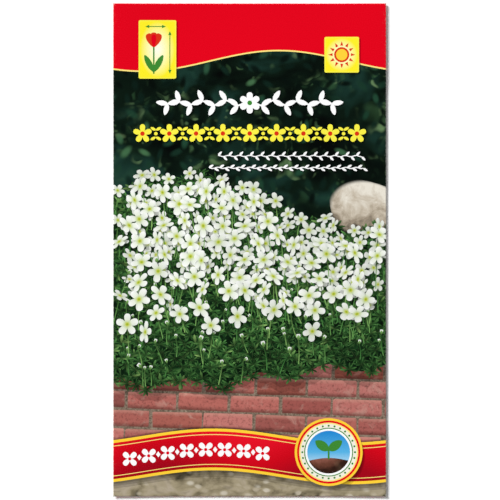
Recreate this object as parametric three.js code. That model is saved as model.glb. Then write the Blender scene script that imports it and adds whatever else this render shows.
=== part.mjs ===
// A flower-seed packet, lying face up: one sheet of coated paper folded into a flat pocket and
// glued behind, a small glassine sleeve inside it, and the pinch of fine seed that the sleeve holds.
// Millimetres, +Z up. The origin is on the table under the packet's middle, +Y is towards its top.
//
// A folded sheet is worked out from its flat blank. Across the blank, s is the distance from the
// middle of the front round a side fold to the back; along it, v is the distance up the packet and
// on round an end fold into a flap. placeOnSheet(spec, s, v) gives the place of the sheet's middle.
import * as THREE from "three";

// The paper pocket. Its outer size includes the folds.
const pocket = {
  width: 90,
  height: 162.6,
  paper: 0.15, // the sheet's thickness
  glueGap: 0.08, // between two layers of the sheet
  fullness: 2.1, // how far the front stands off the back in the middle
  sideLift: 0.35, // how far the side folds lift off the table
  flatHalfWidth: 24, // the back lies flat on the table this far from the middle
  seamEdge: 7, // the left back panel reaches this far past the middle
  seamUnder: -6, // and the right one, inside it, reaches back to here
  seamRamp: 7, // over which the right panel climbs onto the left one
  panelCut: 0.2, // the back panels end this far short of the end folds
  flapSide: 0.15, // a flap's side edges stay this far inside the side folds
  bottomFlap: 16,
  topFlap: 21,
  flapTaper: 7, // how much narrower each side of a flap's free edge is
  endRamp: 9, // over which the back panels climb onto a flap
  centre: [0, 0, 0],
  columns: { panel: 10, fold: 5, front: 24 },
  rows: { tube: 36, fold: 5, flap: 3 },
};

// The glassine sleeve, folded the same way. It lies on the pocket's back seam.
const sleeve = {
  width: 40,
  height: 56,
  paper: 0.06,
  glueGap: 0.05,
  fullness: 0.62,
  sideLift: 0,
  flatHalfWidth: 19,
  seamEdge: 4,
  seamUnder: -4,
  seamRamp: 3,
  panelCut: 0.2,
  flapSide: 0.2,
  bottomFlap: 7,
  topFlap: 10,
  flapTaper: 3,
  endRamp: 0, // its flaps are short, and its panels lie level above them
  centre: [0, -9, 0.39], // just above the pocket's seam, whose upper layer ends at 0.38
  columns: { panel: 3, fold: 3, front: 12 },
  rows: { tube: 12, fold: 3, flap: 1 },
};

// The glue films stay this clear of the paper on either side.
const glueClear = 0.02;
const seamGlue = { x: [-4.4, 5.6], y: [-76, 76] };
const bottomGlue = { x: [-32, 32], y: [-79.5, -68.5] };
const topGlue = { x: [-32, 32], y: [64, 79.5] };

// How a sheet's surfaces run into each other.
const blend = {
  flapClear: 1, // a back panel is fully raised this far before the free edge of the flap under it
  seamClear: 1.5, // and the inner panel this far before the seam's edge
  pillowEdge: 2.4, // a larger power keeps the front's fullness further out
  pillowCrown: 1.6, // and a larger one here runs it out more gently at the folds
};

// The seed: one layer of grains, touching, on a hexagonal lattice inside an ellipse.
const seed = {
  heap: [6, 4.4], // half length and half width of the heap
  middle: [0.6, -12.5],
  clear: 0.01, // under the grains, above the sleeve's seam
  pitch: 1, // each grain stands for a little clump of far finer seeds
  halfHeight: 0.2,
  unevenness: 0.25, // the flattest grain is this share lower
  lean: 0.08, // how far off its middle a grain's top may be
  shoulder: 0.6, // a dome's ring of points, as shares of the way to the corners and of its height
  shoulderHeight: 0.82,
  neck: 0.07, // half height where the grains meet
};

// Helpers.

const smooth = (low, high, x) => THREE.MathUtils.smoothstep(x, low, high);
const lerp = THREE.MathUtils.lerp;

// A small seeded generator, so that the grains lie the same way every time.
function seededDraw(state) {
  return () => {
    state = (Math.imul(state, 1664525) + 1013904223) >>> 0;
    return state / 2 ** 32;
  };
}

// The folded sheet.

// From one layer's middle to the next one's. It is also the radius of a side fold, and an end
// fold, which goes round three layers, has one and a half times that.
const pitchOf = (spec) => spec.paper + spec.glueGap;
const endRadius = (spec) => 1.5 * pitchOf(spec);
const sideX = (spec) => spec.width / 2 - pitchOf(spec) - spec.paper / 2;
const endY = (spec) => spec.height / 2 - endRadius(spec) - spec.paper / 2;

// The lift of everything near a side fold.
const liftAt = (spec, x) => spec.sideLift * smooth(spec.flatHalfWidth, sideX(spec), Math.abs(x));

// How far the flaps under the ends have raised the back panels here, from 0 to 1.
function endRise(spec, y) {
  if (!spec.endRamp) return 1;
  const flap = y < 0 ? spec.bottomFlap : spec.topFlap;
  const edge = endY(spec) - flap - blend.flapClear;
  return smooth(edge - spec.endRamp, edge, Math.abs(y));
}

// How far the front stands off the back: nothing at the folds, full in the middle.
function fullnessAt(spec, x, y) {
  const hump = (u) =>
    Math.pow(Math.max(0, 1 - Math.pow(Math.abs(u), blend.pillowEdge)), blend.pillowCrown);
  return spec.fullness * hump(x / sideX(spec)) * hump(y / endY(spec));
}

const flapLevel = (spec, x) => spec.paper / 2 + liftAt(spec, x);
const leftPanelLevel = (spec, x, y) => flapLevel(spec, x) + pitchOf(spec) * endRise(spec, y);

function rightPanelLevel(spec, x, y) {
  const climbEnd = spec.seamEdge + blend.seamClear;
  const climb = 1 - smooth(climbEnd, climbEnd + spec.seamRamp, x);
  return leftPanelLevel(spec, x, y) + pitchOf(spec) * climb;
}

const frontLevel = (spec, x, y) =>
  leftPanelLevel(spec, x, y) + 2 * pitchOf(spec) + fullnessAt(spec, x, y);

// The middle of the sheet at blank coordinates (s, v).
function placeOnSheet(spec, s, v) {
  const side = sideX(spec);
  const end = endY(spec);
  if (Math.abs(v) > end) {
    // Round an end fold, and on along the flap under the back.
    const radius = endRadius(spec);
    const beyond = Math.abs(v) - end;
    const arc = Math.PI * radius;
    const along = Math.max(0, beyond - arc);
    const flap = v < 0 ? spec.bottomFlap : spec.topFlap;
    const x = s * (1 - ((spec.flapTaper / side) * along) / flap);
    const turn = Math.min(beyond, arc) / radius;
    const y = end + radius * Math.sin(turn) - along;
    const z = flapLevel(spec, x) + radius * (1 + Math.cos(turn));
    return new THREE.Vector3(x, Math.sign(v) * y, z);
  }
  const round = Math.abs(s) - side;
  if (round <= 0) return new THREE.Vector3(s, v, frontLevel(spec, s, v));
  const radius = pitchOf(spec);
  const arc = Math.PI * radius;
  if (round < arc) {
    const turn = round / radius;
    const x = Math.sign(s) * (side + radius * Math.sin(turn));
    const z = leftPanelLevel(spec, side, v) + radius * (1 + Math.cos(turn));
    return new THREE.Vector3(x, v, z);
  }
  const x = Math.sign(s) * (side - (round - arc));
  const level = s < 0 ? leftPanelLevel(spec, x, v) : rightPanelLevel(spec, x, v);
  return new THREE.Vector3(x, v, level);
}

// The way the printed face looks there, from the sheet's own slopes.
function faceDirection(spec, s, v) {
  const step = 0.01;
  const across = placeOnSheet(spec, s + step, v).sub(placeOnSheet(spec, s - step, v));
  const along = placeOnSheet(spec, s, v + step).sub(placeOnSheet(spec, s, v - step));
  return across.cross(along).normalize();
}

// Values from a to b in equal steps, without the last one.
const stepsFrom = (a, b, count) => Array.from({ length: count }, (_, i) => lerp(a, b, i / count));

// The s of each column of the blank and the v of each row.
function blankLines(spec) {
  const side = sideX(spec);
  const end = endY(spec);
  const foldArc = Math.PI * pitchOf(spec);
  const endArc = Math.PI * endRadius(spec);
  const flapHalf = side - spec.flapSide;
  const { panel, fold, front } = spec.columns;
  const leftEnd = -(side + foldArc + side + spec.seamEdge);
  const rightEnd = side + foldArc + side - spec.seamUnder;
  const climbTop = side + foldArc + side - (spec.seamEdge + blend.seamClear);
  const climbFoot = climbTop - spec.seamRamp;
  const columns = [
    ...stepsFrom(leftEnd, -side - foldArc, panel),
    ...stepsFrom(-side - foldArc, -side, fold),
    -side,
    ...stepsFrom(-flapHalf, flapHalf, front),
    flapHalf,
    ...stepsFrom(side, side + foldArc, fold),
    ...stepsFrom(side + foldArc, climbFoot, Math.ceil(panel / 2)),
    ...stepsFrom(climbFoot, climbTop, 3),
    climbTop,
    rightEnd,
  ];
  const { tube, fold: turn, flap } = spec.rows;
  const cut = end - spec.panelCut;
  const rows = [
    ...stepsFrom(-end - endArc - spec.bottomFlap, -end - endArc, flap),
    ...stepsFrom(-end - endArc, -end, turn),
    -end,
    ...stepsFrom(-cut, cut, tube),
    cut,
    ...stepsFrom(end, end + endArc, turn),
    ...stepsFrom(end + endArc, end + endArc + spec.topFlap, flap),
    end + endArc + spec.topFlap,
  ];
  return { columns, rows, flapHalf, cut };
}

// A closed body from a grid of places: the cells that exist, both faces and the rim round them.
function thickened(columns, rows, exists, placeAt, directionAt, thickness) {
  const vertices = [];
  const indices = [];
  const known = new Map();
  const cornerOf = (i, j, face) => {
    const key = (i * rows.length + j) * 2 + (face > 0 ? 1 : 0);
    if (!known.has(key)) {
      known.set(key, vertices.length / 3);
      const normal = directionAt(columns[i], rows[j]);
      const place = placeAt(columns[i], rows[j]);
      vertices.push(...place.addScaledVector(normal, (face * thickness) / 2).toArray());
    }
    return known.get(key);
  };
  const quad = (a, b, c, d) => indices.push(a, b, c, a, c, d);
  for (let i = 0; i < columns.length - 1; i++)
    for (let j = 0; j < rows.length - 1; j++) {
      if (!exists(i, j)) continue;
      const ring = [
        [i, j],
        [i + 1, j],
        [i + 1, j + 1],
        [i, j + 1],
      ];
      const upper = ring.map(([a, b]) => cornerOf(a, b, 1));
      const lower = ring.map(([a, b]) => cornerOf(a, b, -1));
      quad(...upper);
      quad(lower[3], lower[2], lower[1], lower[0]);
      const neighbours = [
        [i, j - 1],
        [i + 1, j],
        [i, j + 1],
        [i - 1, j],
      ];
      neighbours.forEach(([a, b], side) => {
        if (exists(a, b)) return;
        const next = (side + 1) % 4;
        quad(upper[next], upper[side], lower[side], lower[next]);
      });
    }
  const geometry = new THREE.BufferGeometry();
  geometry.setAttribute("position", new THREE.Float32BufferAttribute(vertices, 3));
  geometry.setIndex(indices);
  return geometry;
}

function foldedSheet(spec) {
  const { columns, rows, flapHalf, cut } = blankLines(spec);
  const near = 1e-6;
  const exists = (i, j) => {
    if (i < 0 || j < 0 || i >= columns.length - 1 || j >= rows.length - 1) return false;
    const inTube = rows[j] >= -cut - near && rows[j + 1] <= cut + near;
    const inFront = columns[i] >= -flapHalf - near && columns[i + 1] <= flapHalf + near;
    return inTube || inFront;
  };
  const [dx, dy, dz] = spec.centre;
  return thickened(
    columns,
    rows,
    exists,
    (s, v) => placeOnSheet(spec, s, v),
    (s, v) => faceDirection(spec, s, v),
    spec.paper,
  ).translate(dx, dy, dz);
}

// A film of glue in the gap over a layer of the pocket whose middle is at levelAt(x, y).
// Its lines are the paper's own where they fall inside the area, so that both bend together.
function glueFilm({ x: [x0, x1], y: [y0, y1] }, levelAt) {
  const lines = blankLines(pocket);
  const within = (values, low, high) => [low, ...values.filter((v) => v > low && v < high), high];
  const xs = within(lines.columns, x0, x1);
  const ys = within(lines.rows, y0, y1);
  const thickness = pocket.glueGap - 2 * glueClear;
  return thickened(
    xs,
    ys,
    (i, j) => i >= 0 && j >= 0 && i < xs.length - 1 && j < ys.length - 1,
    (x, y) => new THREE.Vector3(x, y, levelAt(x, y) + pitchOf(pocket) / 2),
    () => new THREE.Vector3(0, 0, 1),
    thickness,
  );
}

// Middles of the grains: the points of a hexagonal lattice inside the heap's ellipse.
function grainMiddles() {
  const rowStep = (seed.pitch * Math.sqrt(3)) / 2;
  const reach = Math.ceil(seed.heap[0] / rowStep);
  const places = [];
  for (let row = -reach; row <= reach; row++)
    for (let column = -reach; column <= reach; column++) {
      const x = (column + (row % 2 ? 0.5 : 0)) * seed.pitch;
      const y = row * rowStep;
      if (Math.hypot(x / seed.heap[0], y / seed.heap[1]) < 1) places.push([x, y]);
    }
  return places;
}

// Each grain fills its hexagon of the lattice, domed above and below. Neighbours share the two
// corners between them, where the heap is thinnest, and a low wall closes it all round.
function seedHeap() {
  const draw = seededDraw(11);
  const keyOf = (x, y) => `${Math.round(x * 1e3)},${Math.round(y * 1e3)}`;
  const middles = grainMiddles();
  const taken = new Set(middles.map(([x, y]) => keyOf(x, y)));
  const seamTop = rightPanelLevel(sleeve, 0, 0) + sleeve.paper / 2 + sleeve.centre[2];
  const bed = seamTop + seed.clear + seed.halfHeight;
  const vertices = [];
  const indices = [];
  const vertex = (x, y, z) => {
    vertices.push(seed.middle[0] + x, seed.middle[1] + y, bed + z);
    return vertices.length / 3 - 1;
  };
  const corners = new Map();
  const cornerAt = (x, y, face) => {
    const key = `${keyOf(x, y)},${face}`;
    if (!corners.has(key)) corners.set(key, vertex(x, y, face * seed.neck));
    return corners.get(key);
  };
  const sixth = Math.PI / 3;
  const cornerRadius = seed.pitch / Math.sqrt(3);
  const triangle = (face, a, b, c) => indices.push(...(face > 0 ? [a, b, c] : [a, c, b]));
  for (const [x, y] of middles) {
    const height = seed.halfHeight * (1 - seed.unevenness * draw());
    const [leanX, leanY] = [draw(), draw()].map((d) => (2 * d - 1) * seed.lean);
    const cornerPlace = (k) => {
      const angle = (k + 0.5) * sixth;
      return [x + cornerRadius * Math.cos(angle), y + cornerRadius * Math.sin(angle)];
    };
    for (const face of [1, -1]) {
      const top = vertex(x + leanX, y + leanY, face * height);
      const ring = Array.from({ length: 6 }, (_, k) => {
        const [cornerX, cornerY] = cornerPlace(k);
        const ringX = lerp(x + leanX, cornerX, seed.shoulder);
        const ringY = lerp(y + leanY, cornerY, seed.shoulder);
        return vertex(ringX, ringY, face * seed.shoulderHeight * height);
      });
      for (let k = 0; k < 6; k++) {
        const next = (k + 1) % 6;
        const corner = cornerAt(...cornerPlace(k), face);
        const nextCorner = cornerAt(...cornerPlace(k + 1), face);
        triangle(face, top, ring[k], ring[next]);
        triangle(face, ring[k], corner, nextCorner);
        triangle(face, ring[k], nextCorner, ring[next]);
      }
    }
    for (let k = 0; k < 6; k++) {
      const angle = (k + 1) * sixth;
      const beyond = [x + seed.pitch * Math.cos(angle), y + seed.pitch * Math.sin(angle)];
      if (taken.has(keyOf(...beyond))) continue;
      const [a, b] = [1, -1].map((face) => cornerAt(...cornerPlace(k), face));
      const [c, d] = [1, -1].map((face) => cornerAt(...cornerPlace(k + 1), face));
      indices.push(a, b, d, a, d, c);
    }
  }
  const geometry = new THREE.BufferGeometry();
  geometry.setAttribute("position", new THREE.Float32BufferAttribute(vertices, 3));
  geometry.setIndex(indices);
  return geometry;
}

// Materials.

const coatedPaper = new THREE.MeshStandardMaterial({ color: 0xe5011c, roughness: 0.42 });
const glassine = new THREE.MeshStandardMaterial({ color: 0xece6d4, roughness: 0.5 });
const driedGlue = new THREE.MeshStandardMaterial({ color: 0xd9c9a0, roughness: 0.35 });
const seedCoat = new THREE.MeshStandardMaterial({ color: 0x3a2518, roughness: 0.7 });

// Assembly.

const packet = new THREE.Group();

function place(name, geometry, material) {
  const mesh = new THREE.Mesh(geometry, material);
  mesh.name = name;
  packet.add(mesh);
}

place("envelope", foldedSheet(pocket), coatedPaper);
place("seam_glue", glueFilm(seamGlue, (x, y) => leftPanelLevel(pocket, x, y)), driedGlue);
place("bottom_flap_glue", glueFilm(bottomGlue, (x) => flapLevel(pocket, x)), driedGlue);
place("top_flap_glue", glueFilm(topGlue, (x) => flapLevel(pocket, x)), driedGlue);
place("inner_sleeve", foldedSheet(sleeve), glassine);
place("seeds", seedHeap(), seedCoat);

export default packet;
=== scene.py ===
# A printed flower-seed packet lying face up on a pale surface, seen square on from above.
# The print and the folded paper are worked out in millimetres and put into metres as a mesh is made.
from functools import partialmethod
from itertools import chain
import bpy
import numpy as np
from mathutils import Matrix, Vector
from mathutils.bvhtree import BVHTree
from mathutils.geometry import delaunay_2d_cdt


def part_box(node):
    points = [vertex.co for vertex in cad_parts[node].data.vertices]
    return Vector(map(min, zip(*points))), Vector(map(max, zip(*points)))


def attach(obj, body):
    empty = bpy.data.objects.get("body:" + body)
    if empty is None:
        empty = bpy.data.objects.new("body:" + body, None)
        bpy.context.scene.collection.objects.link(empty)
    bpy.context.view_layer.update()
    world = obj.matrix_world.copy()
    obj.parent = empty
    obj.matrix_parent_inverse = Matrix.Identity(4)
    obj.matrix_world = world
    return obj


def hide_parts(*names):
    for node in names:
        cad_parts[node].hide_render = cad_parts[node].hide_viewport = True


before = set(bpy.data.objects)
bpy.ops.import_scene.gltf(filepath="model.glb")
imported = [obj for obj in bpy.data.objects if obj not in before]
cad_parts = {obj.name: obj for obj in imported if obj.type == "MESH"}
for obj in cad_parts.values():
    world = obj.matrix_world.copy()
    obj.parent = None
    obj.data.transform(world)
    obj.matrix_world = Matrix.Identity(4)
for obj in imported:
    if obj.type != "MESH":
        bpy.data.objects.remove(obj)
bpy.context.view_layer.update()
mm = 0.001
print("frame loaded")


# Shader building

# A colour as it looks under the studio's light, given as six hexadecimal digits. The ink itself is
# darker by the light's level.
def asSeen(digits):
    seen = np.array([int(digits[i:i + 2], 16) for i in (0, 2, 4)]) / 255
    linear = np.where(seen <= 0.04045, seen / 12.92, ((seen + 0.055) / 1.055) ** 2.4)
    return (*(float(share) for share in linear / studio["level"]), 1.0)


# Gives a node its inputs: values that other nodes work out, colours as digits, or plain settings.
def feed(node, inputs):
    for key, value in inputs.items():
        if isinstance(value, Value):
            node.id_data.links.new(value.socket, node.inputs[key])
        else:
            node.inputs[key].default_value = asSeen(value) if isinstance(value, str) else value


# A new node with its settings and inputs.
def addNode(tree, kind, inputs=None, **settings):
    node = tree.nodes.new(kind)
    for name, setting in settings.items():
        setattr(node, name, setting)
    feed(node, inputs or {})
    return node


# A value that a shader works out. It is reckoned with as a number is, with a Math node for each step.
class Value:
    def __init__(self, socket):
        self.socket = socket
        self.tree = socket.id_data

    # A Math node on this value and another one.
    def calc(self, operation, other=0.0):
        node = addNode(self.tree, "ShaderNodeMath", {0: self, 1: other}, operation=operation)
        return Value(node.outputs[0])

    __add__ = partialmethod(calc, "ADD")
    __sub__ = partialmethod(calc, "SUBTRACT")
    __mul__ = partialmethod(calc, "MULTIPLY")
    __truediv__ = partialmethod(calc, "DIVIDE")
    __pow__ = partialmethod(calc, "POWER")
    __abs__ = partialmethod(calc, "ABSOLUTE")

    # Goes smoothly from 0 at low to 1 at high, or the other way where low is the larger.
    def soften(self, low, high):
        inputs = {"Value": self, "From Min": low, "From Max": high}
        node = addNode(self.tree, "ShaderNodeMapRange", inputs, interpolation_type="SMOOTHSTEP")
        return Value(node.outputs[0])

    # The colour that stands at this value, blended between stops of {place: digits}.
    def ramp(self, stops):
        node = addNode(self.tree, "ShaderNodeValToRGB", {"Fac": self})
        elements = node.color_ramp.elements
        while len(elements) < len(stops):
            elements.new(0.5)
        for element, (position, digits) in zip(elements, stops.items()):
            element.position = position
            element.color = asSeen(digits)
        return Value(node.outputs["Color"])


# A material in the making, with short ways to its nodes. Scales are in features per metre.
class Finish:
    def __init__(self, name):
        self.material = bpy.data.materials.new(name)
        self.material.use_nodes = True
        self.tree = self.material.node_tree
        self.tree.nodes.clear()
        self.surface = addNode(self.tree, "ShaderNodeBsdfPrincipled")
        addNode(self.tree, "ShaderNodeOutputMaterial", {"Surface": Value(self.surface.outputs[0])})
        self.place = self.add("ShaderNodeTexCoord", "Object")

    # The finished material, once its surface has its inputs.
    def made(self, inputs):
        feed(self.surface, inputs)
        return self.material

    # A new node, by its output.
    def add(self, kind, output, inputs=None, **settings):
        return Value(addNode(self.tree, kind, inputs, **settings).outputs[output])

    # The place on the object, times a scale along each axis.
    def stretched(self, scale):
        return self.add("ShaderNodeMapping", 0, {"Vector": self.place, "Scale": scale})

    # Cloudy noise, from 0 to 1 about a half, with finer octaves of it added.
    def noise(self, scale, detail=3.0, roughness=0.5, distortion=0.0, place=None):
        inputs = {"Vector": place or self.place, "Scale": scale, "Detail": detail}
        inputs.update({"Roughness": roughness, "Distortion": distortion})
        return self.add("ShaderNodeTexNoise", "Fac", inputs)

    # Soft round blobs: the distance from their middles, and a number of each one's own.
    def blobs(self, scale, smoothness, place):
        inputs = {"Vector": place, "Scale": scale, "Smoothness": smoothness}
        node = addNode(self.tree, "ShaderNodeTexVoronoi", inputs, feature="SMOOTH_F1")
        own = self.add("ShaderNodeSeparateColor", 0, {0: Value(node.outputs["Color"])})
        return Value(node.outputs["Distance"]), own

    # What the mesh holds under a name.
    def attribute(self, name, output="Fac"):
        return self.add("ShaderNodeAttribute", output, attribute_name=name)

    # A printed shape's own coordinates: u across it and v along it.
    def spot(self):
        node = addNode(self.tree, "ShaderNodeSeparateXYZ", {0: self.attribute("inkPlace", "Vector")})
        return Value(node.outputs[0]), Value(node.outputs[1])

    # How far out in its shape a place is: 0 in the middle and 1 on the ellipse round u and v of 1.
    def reach(self):
        u, v = self.spot()
        return (u ** 2 + v ** 2).calc("SQRT")

    # A number of each shape's own, which picks its colour.
    def tint(self):
        return self.attribute("inkTint")

    # The Mix node's colours go in at 6 and 7, and its colour comes out at 2.
    def mix(self, a, b, share, mode="MIX"):
        return self.add("ShaderNodeMix", 2, {0: share, 6: a, 7: b}, data_type="RGBA", blend_type=mode)

    # The surface's slope where a height from 0 to 1 is so many millimetres deep.
    def bump(self, height, strength, depth):
        return self.add("ShaderNodeBump", 0, {"Height": height, "Strength": strength, "Distance": depth * mm})


# The camera and the light

view = {
    "lens": 135,  # a long lens, as the photograph has no perspective
    "photoWidth": 164.45,  # how much of the surface the picture takes in
    "aim": (0.09, -0.02),
    "front": 2,  # about how high the printed front lies
}
studio = {
    "floor": 0.95,
    "zenith": 0.06,  # dark overhead, so that the coated paper reflects no glare
    "horizon": 1.05,
    "key": 4.7,
    "keyWidth": 26,  # how wide the key light looks from the packet, in degrees
    "keyFrom": (-0.5, 0.5, 0.5),
    "level": 1.2,  # a white sheet under both lights, where 1 is just white in the picture
}


# A new object, linked to the scene.
def newObject(name, data):
    added = bpy.data.objects.new(name, data)
    bpy.context.scene.collection.objects.link(added)
    return added


# The camera looks straight down. Its distance is the picture's width times the lens over the sensor.
def makeCamera():
    camera = newObject("camera", bpy.data.cameras.new("camera"))
    camera.data.lens = view["lens"]
    camera.data.clip_end = 20
    distance = view["photoWidth"] * view["lens"] / camera.data.sensor_width
    camera.location = Vector((*view["aim"], distance + view["front"])) * mm
    bpy.context.scene.camera = camera


# A plain matt floor, just below the packet so that the two faces don't meet.
def makeFloor():
    bpy.ops.mesh.primitive_plane_add(size=6, location=(0, 0, -0.01 * mm))
    floor = bpy.context.active_object
    floor.name = "floor"
    paint = (studio["floor"], studio["floor"], studio["floor"], 1)
    finish = Finish("paleFloor").made({"Base Color": paint, "Roughness": 0.9, "Specular IOR Level": 0.0})
    floor.data.materials.append(finish)


# A sky that is bright at the horizon and dark overhead, and one wide key light.
def makeLight():
    world = bpy.data.worlds.new("studio")
    bpy.context.scene.world = world
    world.use_nodes = True
    tree = world.node_tree
    tree.nodes.clear()
    place = Value(addNode(tree, "ShaderNodeTexCoord").outputs["Generated"])
    up = Value(addNode(tree, "ShaderNodeSeparateXYZ", {0: place}).outputs[2])
    strength = up.soften(0.0, 1.0) * (studio["zenith"] - studio["horizon"]) + studio["horizon"]
    sky = addNode(tree, "ShaderNodeBackground", {"Color": (1, 1, 1, 1), "Strength": strength})
    addNode(tree, "ShaderNodeOutputWorld", {"Surface": Value(sky.outputs[0])})
    lamp = bpy.data.lights.new("key", "SUN")
    lamp.energy = studio["key"]
    lamp.angle = np.radians(studio["keyWidth"])
    key = newObject("key", lamp)
    key.location = studio["keyFrom"]
    key.visible_glossy = False  # the sheen comes from the sky alone, without a glare from the key
    key.rotation_euler = (-Vector(studio["keyFrom"])).to_track_quat("-Z", "Y").to_euler()
    bpy.context.scene.view_settings.view_transform = "Standard"


# The inks of the print

# Foliage far behind, out of focus: large dark patches, and two sizes of soft leaf that catch light
# in some places only.
def backdropColour(ink):
    colour = ink.noise(42, 3, 0.55, 0.6).ramp({0.36: "010403", 0.5: "08180f", 0.6: "16322a", 0.74: "2b4f3c"})
    drifting = ink.add("ShaderNodeTexNoise", "Color", {"Vector": ink.place, "Scale": 150, "Detail": 1})
    bent = ink.mix(ink.place, drifting, 0.012, "ADD")
    for scale, share in ((210, 0.75), (400, 0.6)):
        distance, own = ink.blobs(scale, 0.5, bent)
        patch = ink.noise(scale * 0.2, 2).soften(0.42, 0.66)
        lit = distance.soften(0.62, 0.12) * own.soften(0.4, 0.9) * patch
        colour = ink.mix(colour, own.ramp({0.4: "1f4030", 0.7: "3d6540", 0.95: "7a9c6a"}), lit * share)
    return colour


# A leaf out of focus: its colour fades into the backdrop towards its outline.
def softLeafColour(ink):
    body = ink.tint().ramp({0.0: "010503", 0.35: "0c231b", 0.7: "26503a", 1.0: "5f8d5c"})
    return ink.mix(backdropColour(ink), body, ink.reach().soften(1.0, 0.25) * 0.85)


# A boulder out of focus behind the plants.
def paleStoneColour(ink):
    u, v = ink.spot()
    lit = (ink.noise(190, 6, 0.7, 0.5) - 0.5) * 1.3 + (v * 0.42 + (u * -0.12 + 0.52))
    body = lit.ramp({0.1: "4f493e", 0.35: "a09380", 0.55: "c8bca9", 0.85: "ece6d8"})
    return ink.mix(backdropColour(ink), body, ink.reach().soften(1.0, 0.86))


# The deep shade between the leaves of the cushion.
def hollowColour(ink):
    return ink.noise(420, 4, 0.6).ramp({0.35: "020b03", 0.55: "0c2410", 0.75: "1f4620"})


# A leaf: darker at its base, lighter along its rib, from blue-green to yellow-green.
def leafColour(ink):
    u, v = ink.spot()
    body = ink.tint().ramp({0.0: "0c3016", 0.35: "245a28", 0.7: "4a8842", 1.0: "8cb866"})
    body = ink.mix(body, "a3c47c", abs(u).soften(0.28, 0.0) * 0.3)
    return ink.mix(body, "061a08", v.soften(0.1, 0.9) * -0.66 + 0.66)


# A white petal: greenish at its base, veined like a fan, a little grey along one side.
def petalColour(ink):
    u, v = ink.spot()
    veins = abs((u / (v * 0.75 + 0.3) * 5.6).calc("COSINE")) ** 9 * v.soften(1.0, 0.2)
    body = v.ramp({0.0: "93ac4e", 0.2: "cbdc9c", 0.42: "edf3e2", 1.0: "fcfdfb"})
    body = ink.mix(body, "8fa389", veins * 0.2)
    body = ink.mix(body, "a2aab0", u.soften(0.1, 1.0) * 0.26)
    return ink.mix(body, "a9b8a6", ink.tint() * -0.22 + 0.22)


# The middle of a flower: a green ovary, then a ring of yellow anthers.
def eyeColour(ink):
    u, v = ink.spot()
    anthers = abs((v.calc("ARCTAN2", u) * 4).calc("COSINE")) ** 3 * ink.reach().soften(0.4, 0.7)
    body = ink.reach().ramp({0.0: "7d9c28", 0.45: "aec23a", 0.8: "c6d468", 1.0: "d9e4b2"})
    return ink.mix(body, "dcc244", anthers * 0.6)


# A fired brick: each its own red, lighter along its upper edge, with pits and a bloom of lime.
def brickColour(ink):
    u, v = ink.spot()
    body = ink.tint().ramp({0.0: "9c5648", 0.3: "b96c63", 0.55: "c97f77", 0.8: "a95d56", 1.0: "8a5049"})
    body = ink.mix(body, "6a3a34", ink.noise(1100, 6, 0.75).soften(0.52, 0.34) * 0.7)
    body = ink.mix(body, "cda596", ink.noise(230, 4, 0.6, 0.8).soften(0.52, 0.72) * 0.5)
    body = ink.mix(body, "d49a8a", v.soften(0.45, 0.95) * 0.45)
    return ink.mix(body, "3d2019", (u * 0.06 + v).soften(-0.35, -1.0) * 0.6)


# Mortar: pale grains of sand in dark lime.
def mortarColour(ink):
    return ink.noise(1400, 5, 0.7).ramp({0.3: "4a3b31", 0.5: "7b6a5b", 0.72: "a89684"})


# The ground in the round sign, shaded as a ball is that is lit from the upper left: the height is
# the square root of 1 - u^2 - v^2.
def stoneColour(ink):
    u, v = ink.spot()
    height = ((u ** 2 + v ** 2) * -1 + 1).calc("SQRT")
    lit = height * 0.62 + u * -0.28 + v * 0.42 + (ink.noise(700, 6, 0.7) * 0.5 - 0.25)
    body = lit.ramp({0.0: "3a2219", 0.3: "7d4b3b", 0.58: "ab6c5c", 0.85: "cf9584"})
    return ink.mix(body, "8d7a5e", ink.noise(140, 3, 0.6, 0.8).soften(0.55, 0.75) * 0.35)


# Trodden ground, a little out of focus: earth with hollows in shade, and soft pebbles on it.
def groundColour(ink):
    place = ink.stretched((1.0, 1.6, 1.0))
    earth = {0.3: "3f3c2e", 0.4: "887d64", 0.52: "a89c80", 0.7: "bbae9a"}
    body = ink.noise(130, 4, 0.55, 0.8, place).ramp(earth)
    distance, own = ink.blobs(360, 0.35, place)
    pebble = distance.soften(0.62, 0.2) * own.soften(0.35, 0.8) * 0.85
    body = ink.mix(body, own.ramp({0.4: "9c8f74", 0.7: "bdb199", 0.95: "d8d0be"}), pebble)
    body = ink.mix(body, "5b533e", distance.soften(0.55, 0.9) * 0.45)
    return ink.mix(body, "7a7058", ink.noise(1500, 4, place=place) * 0.3)


# A sign box: nearly white in the middle, yellow at its rim.
def glowColour(ink):
    return ink.reach().ramp({0.0: "fffff0", 0.5: "fffbb4", 1.0: "fff02a"})


# The round sign's sky, paler towards the ground.
def skyColour(ink):
    return (ink.spot()[1] * 0.5 + 0.5).ramp({0.1: "c9e8f6", 0.5: "58b4e6", 1.0: "1c86d2"})


# A ribbon's red, darker where v, its own height, runs to its lower edge, with a soft sheen.
def ribbonColour(ink):
    u, v = ink.spot()
    lit = (u * 0.11).calc("COSINE") * 0.2 + (v * 0.35 + 0.45)
    return lit.ramp({0.1: "a00519", 0.5: "cf0519", 0.9: "e81026"})


# Uncoated paper, on the inside and on the cut edges.
def innerPaperColour(ink):
    return ink.noise(1500, 5, 0.7).ramp({0.3: "e9e3d4", 0.7: "f7f4ea"})


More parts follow.
